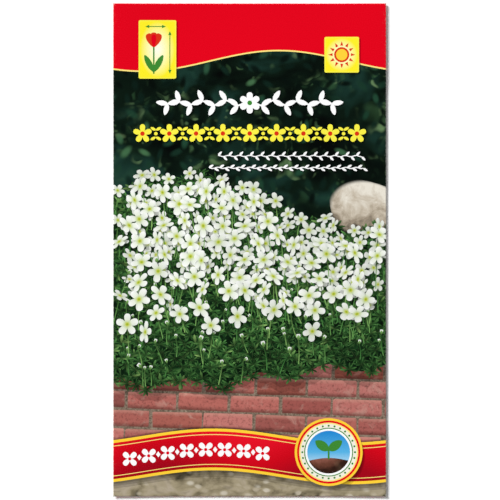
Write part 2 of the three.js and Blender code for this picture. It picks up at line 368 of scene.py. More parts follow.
inks = [  # how rough each group of inks dries, and their colours
    (0.3, {
        "backdrop": backdropColour, "softLeaf": softLeafColour, "paleStone": paleStoneColour,
        "hollow": hollowColour, "leaf": leafColour, "petal": petalColour, "eye": eyeColour,
        "stone": stoneColour, "brick": brickColour, "mortar": mortarColour, "ground": groundColour}),
    (0.27, {
        "ribbon": ribbonColour, "boxGlow": glowColour, "sky": skyColour,
        "headerRed": "e3021b", "gold": "ffd23a", "paleGold": "ffe884", "boxYellow": "fbf24a",
        "white": "ffffff", "signRed": "dc3418", "signGreen": "3f8a34", "cream": "f4efe0",
        "paleGreen": "cfe0c0", "ruleGrey": "a9aca2"}),
    (0.8, {"innerPaper": innerPaperColour}),
]
film = {
    "uneven": 0.05,  # how much the ink's density varies
    "specular": 0.25,
    "fibreRough": 0.1,  # how much the paper's fibres vary the roughness
    "fibreBump": (0.12, 0.02),  # the bump's strength, and its depth in millimetres
    "rubbed": 0.8,  # how much of the ink a fold takes off where it is most worn
    "bare": "f1ece0",
}


# Ink on coated paper, in a colour given as digits or as a function of the ink. Shadows in the
# print and a faint unevenness of the ink darken it, the paper shows where a fold has rubbed it off
# in specks, and the paper's fibres show through its shine.
def printedInk(name, look, roughness):
    ink = Finish(name)
    density = ink.noise(900, 4, 0.7) * film["uneven"] + (1 - film["uneven"] / 2)
    shade = ink.attribute("inkShade") * density
    grey = ink.add("ShaderNodeCombineColor", 0, {0: shade, 1: shade, 2: shade})
    colour = ink.mix(look(ink) if callable(look) else look, grey, 1.0, "MULTIPLY")
    wear = ink.attribute("inkWear")
    specks = (wear * 0.3 + ink.noise(2100, 5, 0.7)).soften(0.66, 0.8)
    fibre = ink.noise(2600)
    return ink.made({
        "Base Color": ink.mix(colour, film["bare"], specks * (wear * film["rubbed"])),
        "Roughness": fibre * film["fibreRough"] + (roughness - film["fibreRough"] / 2),
        "Specular IOR Level": film["specular"],
        "Normal": ink.bump(fibre, *film["fibreBump"]),
    })


# The folded sheet

envelopeLow, envelopeHigh = (np.array(corner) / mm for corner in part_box("envelope"))
pocket = {
    "width": envelopeHigh[0] - envelopeLow[0],
    "height": envelopeHigh[1] - envelopeLow[1],
    "paper": 0.15,
    "glueGap": 0.08,
    "fullness": 1.9,  # how far the front stands off the back in the middle
    "pillow": (2.4, 1.6),  # the inner and the outer power of its shape
    "sideLift": 0.35,
    "flatHalfWidth": 24,
    "seamEdge": 7,  # the left back panel's edge, and below the right one's, from the middle
    "seamUnder": -6,
    "seamClear": 1.5,
    "seamRamp": 7,
    "panelCut": 0.2,
    "flapSide": 0.15,
    "flapClear": 1,
    "slit": 0.06,  # parts each flap from the corners, which stay square
    "cornerShort": 0.01,  # how much the corners end short of the end folds
    "bottomFlap": 16,
    "topFlap": 21,
    "flapTaper": 7,
    "endRamp": 9,
}
handling = {  # how far the paper has been bent by handling, in millimetres of height
    "ripple": 0.05,
    "sleevePrint": 0.1,  # the sleeve inside shows through as a faint raised oblong
    "sleeveHalf": (20, 28),
    "sleeveMiddle": (0, -9),
    "sleeveEdge": 2,
}

# A side fold's radius is the step from one layer's middle to the next, and an end fold goes round
# three layers. The front ends, and a fold begins, at sideX across and at endY along.
foldRadius = pocket["paper"] + pocket["glueGap"]
turnRadius = 1.5 * foldRadius
foldArc, turnArc = np.pi * foldRadius, np.pi * turnRadius
sideX = pocket["width"] / 2 - foldRadius - pocket["paper"] / 2
endY = pocket["height"] / 2 - turnRadius - pocket["paper"] / 2
backShift = 2 * sideX + foldArc  # across the blank, from the front's middle to the back's


# 3 t^2 - 2 t^3, where t goes from 0 at low to 1 at high.
def smooth(low, high, x):
    share = np.clip((x - low) / (high - low), 0, 1)
    return share * share * (3 - 2 * share)


# Several arrays as the last axis of one, such as x and y as points.
def beside(*parts):
    return np.stack(np.broadcast_arrays(*parts), axis=-1)


# Vectors over their own lengths.
def unit(vectors):
    return vectors / np.linalg.norm(vectors, axis=-1, keepdims=True)


# The height of a flap's middle: flat on the floor, and lifted smoothly towards the sides.
def flapLevel(x):
    return pocket["paper"] / 2 + pocket["sideLift"] * smooth(pocket["flatHalfWidth"], sideX, np.abs(x))


# How deep the flap is at the end where v lies.
def flapDepth(v):
    return np.where(v < 0, pocket["bottomFlap"], pocket["topFlap"])


# The left back panel climbs onto the flaps near the two ends.
def leftPanelLevel(x, y):
    edge = endY - flapDepth(y) - pocket["flapClear"]
    return flapLevel(x) + foldRadius * smooth(edge - pocket["endRamp"], edge, np.abs(y))


# The right one lies on the left one near the middle.
def rightPanelLevel(x, y):
    climbEnd = pocket["seamEdge"] + pocket["seamClear"]
    return leftPanelLevel(x, y) + foldRadius * (1 - smooth(climbEnd, climbEnd + pocket["seamRamp"], x))


# The front's height over the back: a pillow, (1 - |u|^inner)^outer both ways, with slight ripples
# and the oblong of the sleeve, which both die out towards the folds as the pillow does.
def frontLevel(x, y):
    inner, outer = pocket["pillow"]
    across, along = (np.clip(1 - np.abs(share) ** inner, 0, 1) ** outer for share in (x / sideX, y / endY))
    ripple = np.sin(x * 0.11 + 1.3 * np.sin(y * 0.045)) + 0.7 * np.sin(y * 0.083 - x * 0.06 + 0.8)
    oblong, edge = 1, handling["sleeveEdge"]
    for place, middle, half in zip((x, y), handling["sleeveMiddle"], handling["sleeveHalf"]):
        oblong = oblong * smooth(half + edge, half - edge, np.abs(place - middle))
    relief = handling["ripple"] * ripple + handling["sleevePrint"] * oblong
    return leftPanelLevel(x, y) + 2 * foldRadius + across * along * (pocket["fullness"] + relief)


# The sheet's middle at blank coordinates: s across from the front's middle round a side fold to
# the back, and v along and on round an end fold into a flap. A fold goes half round a circle:
# radius times the turn's sine outwards, and radius times its cosine up. A flap narrows to its end.
def placeOnSheet(s, v):
    past = np.abs(s) - sideX
    turn = np.clip(past, 0, foldArc) / foldRadius
    foldX = np.sign(s) * (sideX + foldRadius * np.sin(turn))
    foldZ = leftPanelLevel(sideX, v) + foldRadius * (1 + np.cos(turn))
    panelX = np.sign(s) * (sideX - (past - foldArc))
    panelZ = np.where(s < 0, leftPanelLevel(panelX, v), rightPanelLevel(panelX, v))
    frontZ = frontLevel(np.clip(s, -sideX, sideX), v)
    x = np.where(past <= 0, s, np.where(past < foldArc, foldX, panelX))
    z = np.where(past <= 0, frontZ, np.where(past < foldArc, foldZ, panelZ))

    onFlap = np.abs(s) < sideX - pocket["flapSide"] + pocket["slit"] / 2
    over = np.clip(np.abs(v) - endY, 0, None) * onFlap
    along = np.clip(over - turnArc, 0, None)
    turn = np.clip(over, 0, turnArc) / turnRadius
    flapX = s * (1 - pocket["flapTaper"] / sideX * along / flapDepth(v))
    flapY = np.sign(v) * (endY + turnRadius * np.sin(turn) - along)
    flapZ = flapLevel(flapX) + turnRadius * (1 + np.cos(turn))
    return np.where((over > 0)[..., None], beside(flapX, flapY, flapZ), beside(x, v, z))


# The way the printed face looks, from the sheet's slopes across and along.
def faceDirection(s, v, step=0.02):
    across = placeOnSheet(s + step, v) - placeOnSheet(s - step, v)
    along = placeOnSheet(s, v + step) - placeOnSheet(s, v - step)
    return unit(np.cross(across, along))


# Printed shapes

plate = []  # batches of shapes, each in one ink


# A shape is an outline in its own coordinates (u, v), set in the print by a middle and by a frame
# whose two rows are the u and v directions in millimetres. Shapes are painted in the order given.
# One with a veil is a shadow: it darkens what lies under it by that share. Several shapes are laid
# at once by arrays, which are stretched to fit each other.
def lay(inkName, outline, order, middles=(0, 0), frames=np.eye(2), tint=0.5, shade=1.0, veil=0.0):
    grid = np.broadcast_shapes(np.shape(middles)[:-1], np.shape(frames)[:-2], np.shape(order))

    def spread(values, *own):
        return np.broadcast_to(np.asarray(values, dtype=float), (*grid, *own)).reshape(-1, *own)
    middles, frames = spread(middles, 2), spread(frames, 2, 2)
    outlines = spread(outline, *np.shape(outline)[-2:])
    plate.append({
        "ink": inkName, "rings": middles[:, None, :] + np.einsum("nki,nij->nkj", outlines, frames),
        "middles": middles, "frames": frames, "order": spread(order), "tint": spread(tint),
        "shade": spread(shade), "veil": spread(veil)})


# Shapes of the back are given as the back is read, and laid on both of its panels. What falls off
# a panel's edge is trimmed with the blank.
def layBack(inkName, outline, order, middles=(0, 0), frames=np.eye(2)):
    for shift in (-backShift, backShift):
        lay(inkName, outline, order, np.add(middles, (shift, 0)), frames)


# A frame turned by angle, u times width long, and v times length or else width.
def frameOf(angle, width, length=None):
    angle, width, length = np.broadcast_arrays(angle, width, width if length is None else length)
    cos, sin = np.cos(angle), np.sin(angle)
    return np.stack([beside(cos * width, sin * width), beside(-sin * length, cos * length)], axis=-2)


# The middles and frames of shapes that stand round a middle and point outwards.
def ringOf(count, middle, radius, width, length):
    angle = np.arange(count) * 2 * np.pi / count
    middles = beside(middle[0] - radius * np.sin(angle), middle[1] + radius * np.cos(angle))
    return middles, frameOf(angle, width, length)


# The orders of shapes that are painted one after another.
def inTurn(first, count, span=1):
    return first + np.arange(count) / count * span


# Points on the circle of radius 1: the cosine and the sine of each angle.
def onCircle(angle):
    return beside(np.cos(angle), np.sin(angle))


# The whole circle, in even steps.
def roundOutline(count):
    return onCircle(np.linspace(0, 2 * np.pi, count, endpoint=False))


# A box by its lower left and its upper right corner.
def boxOutline(x0, y0, x1, y1):
    return np.array([(x0, y0), (x1, y0), (x1, y1), (x0, y1)], dtype=float)


# A box with its corners rounded: each corner is a quarter circle of a few points.
def roundedBox(x0, y0, x1, y1, radius, steps=4):
    corner = onCircle(np.linspace(0, np.pi / 2, steps)) * radius
    turned = [corner * (-1, -1), corner[:, ::-1] * (1, -1), corner, corner[:, ::-1] * (-1, 1)]
    middles = boxOutline(x0 + radius, y0 + radius, x1 - radius, y1 - radius)
    parts = [part + middle for part, middle in zip(turned, middles)]
    return np.concatenate(parts[2:] + parts[:2])


# A petal: v runs from its base to its tip as an angle a goes round it, its half width is
# sin(a) (0.5 + 0.58 v), and its tip is nicked a little.
def petalOutline(count=14):
    angle = (np.arange(count) + 0.5) * 2 * np.pi / count
    v = 0.5 - 0.5 * np.cos(angle)
    u = np.sin(angle) * (0.5 + 0.58 * v)
    return beside(u, v - 0.05 * np.exp(-((u / 0.22) ** 2)) * (v > 0.5))


# A leaf, pointed at both ends: its half width is sin(a) |sin(a)|^0.35 (1 - bias v).
def leafOutline(count=8, bias=0.0):
    angle = np.arange(count) * 2 * np.pi / count
    v = 0.5 - 0.5 * np.cos(angle)
    return beside(np.sin(angle) * np.abs(np.sin(angle)) ** 0.35 * (1 - bias * v), v)


# A band between two curves over x, as one outline.
def bandOutline(x, upper, lower):
    return np.concatenate([beside(x, lower), beside(x, upper)[::-1]])


# Points of a jittered hexagonal lattice in a box.
def scatter(draw, low, high, pitch, jitter):
    rows = np.arange(low[1], high[1], pitch * 0.866)[:, None]
    x = np.arange(low[0], high[0], pitch) + (np.arange(len(rows))[:, None] % 2) * pitch / 2
    points = beside(x, rows).reshape(-1, 2)
    return points + draw.uniform(-jitter, jitter, points.shape) * pitch


# The picture on the front

halfPrint = sideX + foldArc + 0.8  # the picture runs this far round the side folds
printReach = endY + 4  # and this far round the end folds
beyond = 130  # past the blank's edges on every side
backdrop = {
    "leafPitch": 5.4,
    "leaf": (1.7, 3.3),
    "boulder": (39, 13),
    "boulderSize": (13.5, 10),
    "clearing": (38, 14, 17, 13),  # an ellipse with no leaf in it, as its middle and half sizes
}
drift = {
    "crest": 24.5,
    "fall": 18.0,  # the drift's crest falls this much from left to right
    "leftFoot": -35.0,
    "footRise": 5.0,
    "wave": 1.5,
    "frontPitch": 6.8,
    "frontSize": (3.3, 4.1),  # a flower's petal length
    "backPitch": 4.9,
    "backSize": (2.4, 3.1),
    "dense": [(0.18, 0.6), (-0.15, 0.55)],  # depths where the far and the near flowers begin and are full
    "petalWidth": 0.36,  # half width, as a share of the length
    "eye": 0.2,
    "budPitch": 6.5,
    "bud": (1.3, 2.3),
    "rosettePitch": 3.1,
    "leaf": (1.8, 3.6),
    "fringe": 10.0,  # how far the leaves show below the lowest flowers
}
wall = {
    "top": -35.5,
    "courses": 5,
    "course": 6.1,  # a course's height, and below a brick's length, with their joints
    "bricks": 7,
    "brick": 17.0,
    "joint": 0.75,
    "slant": -0.035,
}


# The drift's crest: it falls smoothly to the right and a little at the left edge, and waves.
def driftTop(x):
    slope = drift["fall"] * smooth(-22, 36, x) + 5 * smooth(-28, -46, x)
    return drift["crest"] - slope + drift["wave"] * np.sin(x * 0.33)


# Its foot rises smoothly to the right, and waves.
def driftFoot(x):
    return drift["leftFoot"] + drift["footRise"] * smooth(-20, 38, x) + drift["wave"] * np.sin(x * 0.27 + 1)


# 0 at the drift's foot and 1 at its crest.
def driftDepth(x, y):
    return (y - driftFoot(x)) / (driftTop(x) - driftFoot(x))


# Soft leaves on a jittered lattice, lighter in patches where two slow waves meet, and a boulder.
def layBackdrop():
    draw = np.random.default_rng(21)
    lay("backdrop", boxOutline(-halfPrint, -printReach, halfPrint, printReach), 1)
    middles = scatter(draw, (-46, -6), (46, 66), backdrop["leafPitch"], 0.22)
    x, y = middles.T
    glow = 0.5 + 0.5 * np.sin(x * 0.11 + 2.2) * np.sin(y * 0.13 + 0.4)
    clearX, clearY, halfX, halfY = backdrop["clearing"]
    wanted = np.hypot((x - clearX) / halfX, (y - clearY) / halfY) > 1
    middles, glow = middles[wanted], glow[wanted]
    count = len(middles)
    width, length = draw.uniform(0.7, 1.0, (2, count)) * np.array(backdrop["leaf"])[:, None]
    frames = frameOf(draw.uniform(0, 6.28, count), width, length)
    lay("softLeaf", roundOutline(14), inTurn(2, count), middles, frames,
        tint=(0.2 + 0.8 * glow) * draw.uniform(0, 1, count) ** 1.3)
    boulder = roundOutline(26) * (1 + 0.07 * np.sin(np.linspace(0, 6 * np.pi, 26)))[:, None]
    lay("paleStone", boulder, 4, backdrop["boulder"], frameOf(-0.25, *backdrop["boulderSize"]))


# The ground, the mortar and bricks in running bond, each a rounded box with a slightly uneven
# outline, and on them the shadow of the leaves.
def layWall():
    draw = np.random.default_rng(5)
    top, slant, courses, course = wall["top"], wall["slant"], wall["courses"], wall["course"]
    bricks, brick, joint = wall["bricks"], wall["brick"], wall["joint"]
    foot, turned = top - courses * course, frameOf(slant, 1.0)
    lay("ground", boxOutline(-halfPrint, -printReach, halfPrint, foot + 6), 5)
    lay("mortar", boxOutline(-60, foot, 60, top) @ turned, 6)
    rows, columns = np.indices((courses, bricks)).reshape(2, -1)
    count = len(rows)
    x = (columns - (bricks - 1) / 2 + 0.5 * (rows % 2) + 0.2) * brick + draw.uniform(-0.2, 0.2, count)
    y = top - (rows + 0.5) * course + draw.uniform(-0.12, 0.12, count)
    box = roundedBox(-1, -1, 1, 1, 0.16, 3)
    rings = box + draw.normal(0, 0.018, (count, *box.shape))
    rings[:, :, 0] = np.sign(rings[:, :, 0]) * (1 - (1 - np.abs(rings[:, :, 0])) * course / brick)
    angle = slant + draw.normal(0, 0.008, count)
    frames = frameOf(angle, (brick / 2 - joint / 2) * draw.uniform(0.975, 1.0, count), course / 2 - joint / 2)
    lay("brick", rings, inTurn(7, count), beside(x, y) @ turned, frames,
        tint=draw.uniform(0, 1, count), shade=draw.uniform(0.86, 1.05, count))
    x = np.linspace(-halfPrint, halfPrint, 60)
    edge = driftFoot(x) - drift["fringe"]
    for step in (1.6, 3.4):
        shadow = bandOutline(x, edge + 3, edge - step + 0.5 * np.sin(x * 1.1))
        lay("hollow", shadow, 9 + step / 10, veil=0.3)


# Leaves radiate from each rosette's middle, flattened as on a slope that leans back.
def layLeaves(draw, middles, order, sizes, perRosette, lightness, shade):
    shape = (len(middles), perRosette)
    angle = np.arange(perRosette) * 2 * np.pi / perRosette + draw.uniform(-0.3, 0.3, shape)
    length = draw.uniform(*sizes, shape)
    tint = np.clip(lightness[:, None] + draw.normal(0, 0.2, shape), 0, 1)
    shade = shade[:, None] * draw.uniform(0.45, 1.15, shape)
    turns = np.argsort(draw.uniform(0, 1, shape), axis=1) / perRosette
    lay("leaf", leafOutline(7, 0.1), order[:, None] + 0.9 * turns / len(middles), middles[:, None],
        frameOf(angle, length * 0.15, length) * (1, 0.8), tint=tint, shade=shade)


# Rosettes of leaves from the crest down to the foot, lighter in patches and darker low down.
def layCushion():
    draw = np.random.default_rng(9)
    x = np.linspace(-halfPrint, halfPrint, 60)
    lay("hollow", bandOutline(x, driftTop(x) - 1.5, driftFoot(x) - drift["fringe"] + 1.5), 10)
    middles = scatter(draw, (-46, -52), (47, 32), drift["rosettePitch"], 0.3)
    x, y = middles.T
    inside = (y < driftTop(x) + 0.5) & (y > driftFoot(x) - drift["fringe"]) & (np.abs(x) < halfPrint)
    middles = middles[inside]
    middles = middles[np.argsort(-middles[:, 1])]
    x, y = middles.T
    lit = 0.5 + 0.35 * np.sin(x * 0.21 + 0.7) * np.sin(y * 0.26 + 1.1)
    low = smooth(driftFoot(x) - drift["fringe"], driftFoot(x) + 6, y)
    layLeaves(draw, middles, inTurn(11, len(x)), drift["leaf"], 9, 0.25 + 0.45 * lit,
              0.62 + 0.4 * lit * (0.5 + 0.5 * low))


# Five petals about an eye. The whole flower is flattened along a direction of its own, as a disc
# seen from the side is, and stands before its shadow.
def layFlowers(draw, middles, order, sizes, lightness):
    count = len(middles)
    size = draw.uniform(*sizes, count)
    tilt = draw.uniform(0, 6.28, count)
    flat = draw.uniform(0.5, 1.0, count)
    cos, sin = np.cos(tilt), np.sin(tilt)
    squash = np.stack([beside(cos * cos + flat * sin * sin, (1 - flat) * cos * sin),
                       beside((1 - flat) * cos * sin, sin * sin + flat * cos * cos)], -2)
    turn = draw.uniform(0, 1.26, count)[:, None] + np.arange(5) * 2 * np.pi / 5
    turn = turn + draw.normal(0, 0.06, turn.shape)
    length = size[:, None] * draw.uniform(0.93, 1.05, turn.shape)
    tint = np.clip(lightness[:, None] + draw.normal(0, 0.12, turn.shape), 0, 1)
    star = roundOutline(10) * np.where(np.arange(10) % 2, 0.95, 0.7)[:, None]
    lay("hollow", star, order, middles + (0.55, -0.9), frameOf(0, size) @ squash, veil=0.42)
    lay("petal", petalOutline(), order[:, None] + np.arange(5) * 1e-5 + 2e-5, middles[:, None],
        frameOf(turn, length * drift["petalWidth"], length) @ squash[:, None], tint=tint,
        shade=(0.72 + 0.28 * lightness)[:, None])
    lay("eye", roundOutline(9), order + 8e-5, middles, frameOf(turn[:, 0], size * drift["eye"]) @ squash,
        shade=0.8 + 0.2 * lightness)


# Stems: thin strips from a flower down into the cushion, bent a little, (1 - v) v times a bow.
def layStems(draw, middles, order, lengths):
    count = len(middles)
    v = np.linspace(0, 1, 5)
    bend = draw.uniform(-2.5, 2.5, (count, 1)) * (v * (1 - v)) * 4
    strip = np.concatenate([beside(bend + 1, v), beside(bend - 1, v)[:, ::-1]], axis=1)
    frames = frameOf(np.pi + draw.normal(0, 0.2, count), 0.14, draw.uniform(*lengths, count))
    lay("leaf", strip, order, middles, frames, tint=draw.uniform(0.6, 1.0, count), shade=0.95)


# A bud or a flower half seen from the side: three petals standing up out of a green cup.
def layBuds(draw, middles, order):
    lean = draw.normal(0, 0.5, len(middles))
    size = draw.uniform(*drift["bud"], len(middles))
    for step, spread in enumerate((-0.2, 0.2, 0.0)):
        frames = frameOf(lean + spread, size * 0.2, size)
        lay("petal", petalOutline(8), order + step * 1e-5, middles, frames, shade=0.9)
    lay("leaf", leafOutline(8), order + 4e-5, middles, frameOf(lean, size * 0.24, size * 0.8), tint=0.9)


# Flowers on stems in two levels, the far ones smaller and darker, and then buds near the foot.
# From the foot up, flowers grow denser by a smooth step of the depth.
def layDrift():
    draw = np.random.default_rng(14)
    levels = [(drift["backPitch"], drift["backSize"], 2.0), (drift["frontPitch"], drift["frontSize"], -1.5)]
    for level, (pitch, sizes, margin) in enumerate(levels):
        middles = scatter(draw, (-45, -44), (46, 36), pitch, 0.3)
        x, y = middles.T
        depth = driftDepth(x, y)
        wanted = smooth(*drift["dense"][level], depth)
        inside = (y < driftTop(x) + margin) & (depth > 0) & (np.abs(x) < 43.5)
        middles = middles[inside & (draw.uniform(0, 1, len(x)) < wanted)]
        middles = middles[np.argsort(-middles[:, 1])]
        count = len(middles)
        order = inTurn(20 + level * 10, count, 8)
        lightness = 0.35 + 0.45 * level + 0.2 * driftDepth(*middles.T) + draw.normal(0, 0.12, count)
        layStems(draw, middles, order - 1e-3, (5, 11))
        layFlowers(draw, middles, order, sizes, np.clip(lightness, 0, 1))
    middles = scatter(draw, (-43, -42), (44, 12), drift["budPitch"], 0.45)
    depth = driftDepth(*middles.T)
    middles = middles[(depth > -0.08) & (depth < 0.55)]
    order = inTurn(29, len(middles))
    layStems(draw, middles, order - 0.5, (4, 8))
    layBuds(draw, middles, order)


# The head of the front: a red field with a waved edge, two sign boxes, and garlands

head = {
    "edge": 62.0,
    "wave": 3.4,
    "hairline": 0.5,
    "tallBox": (-36.6, 56.4, -24.2, 75.7),
    "smallBox": (24.6, 58.4, 36.0, 70.2),
    "boxCorner": 0.5,
    "boxRim": 0.4,
}
garland = {
    "white": {"y": 48.4, "halfWidth": 27.0, "leaf": 3.9, "count": 15},
    "yellow": {"y": 38.3, "pitch": 8.83, "flowers": 9},
    "rows": [(30.9, 48.0), (27.0, 51.0)],  # heights and widths of two fine vines
    "rowsRight": 37.6,
    "rowLeaf": 1.75,
    "shadow": (0.45, -0.5),
}
waves = 0.0698  # of the head's edge and of the ribbon, in radians per millimetre
ray = np.array([(-1, 0), (1, 0), (0, 1)])  # a triangle on its base, with its tip at v of 1


# A yellow box with a glow inside its rim, on its shadow. Returns its middle.
def laySignBox(x0, y0, x1, y1):
    corner, rim = head["boxCorner"], head["boxRim"]
    lay("hollow", roundedBox(x0 + 0.4, y0 - 0.6, x1 + 0.6, y1 - 0.4, 0.6), 52, veil=0.4)
    lay("boxYellow", roundedBox(x0, y0, x1, y1, corner), 53)
    middle, half = np.array([x0 + x1, y0 + y1]) / 2, np.array([x1 - x0, y1 - y0]) / 2 - rim
    inner = roundedBox(*(middle - half), *(middle + half), corner)
    lay("boxGlow", (inner - middle) / half, 54, middle, np.diag(half))
    return middle


# A red field above a sine wave with a hairline on it, and the two boxes with their pictures.
def layHead():
    s = np.linspace(-beyond, beyond, 150)
    edge = head["edge"] + head["wave"] * np.sin(s * waves + 0.9)
    lay("headerRed", bandOutline(s, endY + 30, edge), 50)
    lay("paleGold", bandOutline(s, edge + head["hairline"], edge), 51)
    laySignBox(*head["tallBox"])
    middle = laySignBox(*head["smallBox"])
    # a sun on the small box: a disc inside twelve rays
    lay("signRed", ray, 55, *ringOf(12, middle, 3.0, 0.5, 1.5))
    lay("signRed", roundOutline(22), 55, middle, frameOf(0, 2.5))
    lay("gold", roundOutline(20), 56, middle, frameOf(0, 1.9))
    layTulip(*head["tallBox"])


# A plain flower with two leaves, beside an arrow for its height and under one for its spread.
def layTulip(x0, y0, x1, y1):
    x, foot = x0 + 5.0, y0 + 1.6
    bloom = (x, foot + 8.8)
    lay("signGreen", boxOutline(x - 0.25, foot, x + 0.25, foot + 9.0), 55)
    lay("signGreen", leafOutline(12), 56, (x, foot + 0.6), frameOf([0.5, -0.5], 1.0, 6.4))
    lay("signRed", petalOutline(18), 57 + np.arange(3) * 0.1, bloom, frameOf([0.42, -0.42, 0], 1.45, 5.0))
    lay("headerRed", petalOutline(18), 58, bloom, frameOf(0, 1.0, 4.3))
    layArrow((x1 - 2.1, foot), (x1 - 2.1, y1 - 3.6))
    layArrow((x0 + 2.2, y1 - 2.1), (x1 - 3.4, y1 - 2.1))


# A straight line with a head at both its ends.
def layArrow(start, end):
    along = np.subtract(end, start)
    angle = np.arctan2(-along[0], along[1])
    lay("signGreen", boxOutline(-1, 0.06, 1, 0.94), 57, start, frameOf(angle, 0.14, np.linalg.norm(along)))
    lay("signGreen", ray - (0, 1), 57, [start, end], frameOf([angle + np.pi, angle], 0.55, 1.3))


# Every ornament of the garlands is laid twice: first as a shadow, a little lower and to the right.
def layOrnament(inkName, outline, order, middles=(0, 0), frames=np.eye(2)):
    lay("hollow", outline, order - 3, np.add(middles, garland["shadow"]), frames, veil=0.55)
    lay(inkName, outline, order, middles, frames)


# A vine along y = path(x): a thin strip with leaves on it, which lie over by lean from the way it
# grows, outward. They come in pairs, or take turns above and below.
def layVine(path, places, order, leaf, half, outward=1.0, paired=True, lean=0.72):
    x = np.linspace(places[0], places[-1], 6 * len(places))
    layOrnament("white", bandOutline(x, path(x) + half, path(x) - half), order)
    slope = np.arctan2(path(places + 0.1) - path(places - 0.1), 0.2)
    for side in (1, -1):
        chosen = slice(None) if paired else slice((1 - side) // 2, None, 2)
        angle = outward * (side * lean - np.pi / 2) + slope
        layOrnament("white", leafOutline(12, 0.15), order, beside(places, path(places))[chosen],
                    frameOf(angle[chosen], leaf * 0.24, leaf))


# Plain flowers: petals round a flat eye, with so many points in each outline.
def layBlooms(layPetals, inkNames, order, middles, petals, points, petal, eye, turned=0.0):
    frames = frameOf(np.arange(petals) * 2 * np.pi / petals + turned, *petal)
    layPetals(inkNames[0], petalOutline(points), order, middles[:, None], frames)
    lay(inkNames[1], roundOutline(points), order + 1, middles, frameOf(0, eye))


# A white vine on a cosine with a flower in its middle, a row of yellow flowers with lozenges
# between them, and two fine vines.
def layGarlands():
    spec = garland["white"]
    y = spec["y"]
    places = np.linspace(-1, 1, spec["count"]) * spec["halfWidth"]
    places = places[np.abs(places) > 3]
    layVine(lambda x: y + 0.9 * np.cos(x * 2 * np.pi / 8.2), places, 65, spec["leaf"], 0.28, np.sign(places))
    layBlooms(layOrnament, ("white", "signGreen"), 66, np.array([(0, y)]), 6, 14, (1.25, 3.6), 0.8)
    spec = garland["yellow"]
    middles = beside((np.arange(spec["flowers"]) - (spec["flowers"] - 1) / 2) * spec["pitch"], spec["y"])
    layBlooms(layOrnament, ("boxYellow", "signRed"), 68, middles, 5, 12, (1.1, 3.2), 0.75)
    between = (middles[:-1] + middles[1:]) / 2
    for side in (1, -1):
        for tip in (1, -1):
            frames = frameOf(side * (np.pi / 2 - 0.5 * tip), 0.5, 2.0)
            layOrnament("boxYellow", leafOutline(10), 68, between + (0, 1.1 * tip), frames)
    layOrnament("boxYellow", roundOutline(10), 68, between, frameOf(0, 0.6))
    leaf = garland["rowLeaf"]
    for rowY, width in garland["rows"]:
        places = garland["rowsRight"] - np.arange(width, 0, -leaf)
        layVine(lambda x: rowY + 0.2 * np.cos(x * np.pi / leaf), places, 68, leaf, 0.17,
                paired=False, lean=0.85)


# The foot of the front: a waved ribbon with gold edges, and a round sprout sign on it

ribbon = {
    "middle": -68.0,
    "halfHeight": 6.9,
    "wave": 2.3,
    "edge": 0.95,
    "hairline": (0.9, 1.15),  # from the edge to its two sides
    "flowers": (-39.5, 10.5, 6.25),  # where they begin and end, and how far apart they are
    "sign": (26.0, -66.6),
    "signRadius": 11.2,
}
signRings = {  # from the rim in, as shares of the sign's radius
    "gold": 1.0, "headerRed": 0.93, "paleGold": 0.87, "cream": 0.83, "signGreen": 0.72,
    "white": 0.69, "sky": 0.63,
}


# The height of the ribbon's middle line, a sine wave.
def ribbonMiddle(s):
    return ribbon["middle"] + ribbon["wave"] * np.sin(s * waves + 2.4)


# Bands about the middle line: three shadows, the gold, the red on it and two hairlines.
def layRibbon():
    s = np.linspace(-beyond, beyond, 150)
    middle, half, edge = ribbonMiddle(s), ribbon["halfHeight"], ribbon["edge"]
    for step in (0.7, 1.4, 2.2):
        lay("hollow", bandOutline(s, middle + half + step / 3, middle - half - step), 70, veil=0.28)
    lay("gold", bandOutline(s, middle + half, middle - half), 71)
    upper, lower = middle + half - edge, middle - half + edge
    origin, size = (0, ribbon["middle"]), (1, half)
    lay("ribbon", (bandOutline(s, upper, lower) - origin) / size, 72, origin, np.diag(size))
    near, far = ribbon["hairline"]
    lay("paleGold", bandOutline(s, upper - near, upper - far), 73)
    lay("paleGold", bandOutline(s, lower + far, lower + near), 73)
    # small four-petalled flowers along the middle, with a lozenge between each two
    places = np.arange(*ribbon["flowers"])
    middles = beside(places, ribbonMiddle(places))
    layBlooms(lay, ("white", "headerRed"), 73, middles, 4, 12, (1.1, 2.9), 0.55, np.pi / 4)
    lay("white", roundOutline(4), 73, (middles[1:] + middles[:-1]) / 2, frameOf(0, 0.75, 1.0))
    laySprout(*ribbon["sign"], ribbon["signRadius"])


# The round sign: rings about a sky, and a sprout on the ground in it.
def laySprout(x, y, radius):
    for step in (0.5, 1.0, 1.5):
        lay("hollow", roundOutline(40), 75, (x + step / 2, y - step), frameOf(0, radius), veil=0.28)
    for step, (inkName, share) in enumerate(signRings.items()):
        lay(inkName, roundOutline(48), 76 + step * 0.1, (x, y), frameOf(0, radius * share))
    lay("signGreen", roundOutline(8), 77, roundOutline(28) * 0.775 * radius + (x, y), frameOf(0, 0.36))
    inner = signRings["sky"] * radius
    ground = onCircle(np.linspace(np.pi * 1.13, np.pi * 1.87, 20)) * inner
    top = np.linspace(1, -1, 12)[1:-1]
    hill = beside(top * ground[-1, 0], ground[0, 1] + 0.9 * np.cos(top * np.pi / 2))
    lay("stone", np.concatenate([ground, hill]) / inner, 77, (x, y), frameOf(0, inner), shade=0.75)
    lay("signGreen", boxOutline(x - 0.3, y - 2.3, x + 0.3, y + 1.8), 78)
    lay("signGreen", leafOutline(16, 0.2), 79, (x, y + 0.6), frameOf([0.95, -0.95], 1.7, 5.4))


# The back: a cream panel with a month strip, four signs, writing lines and a bare label

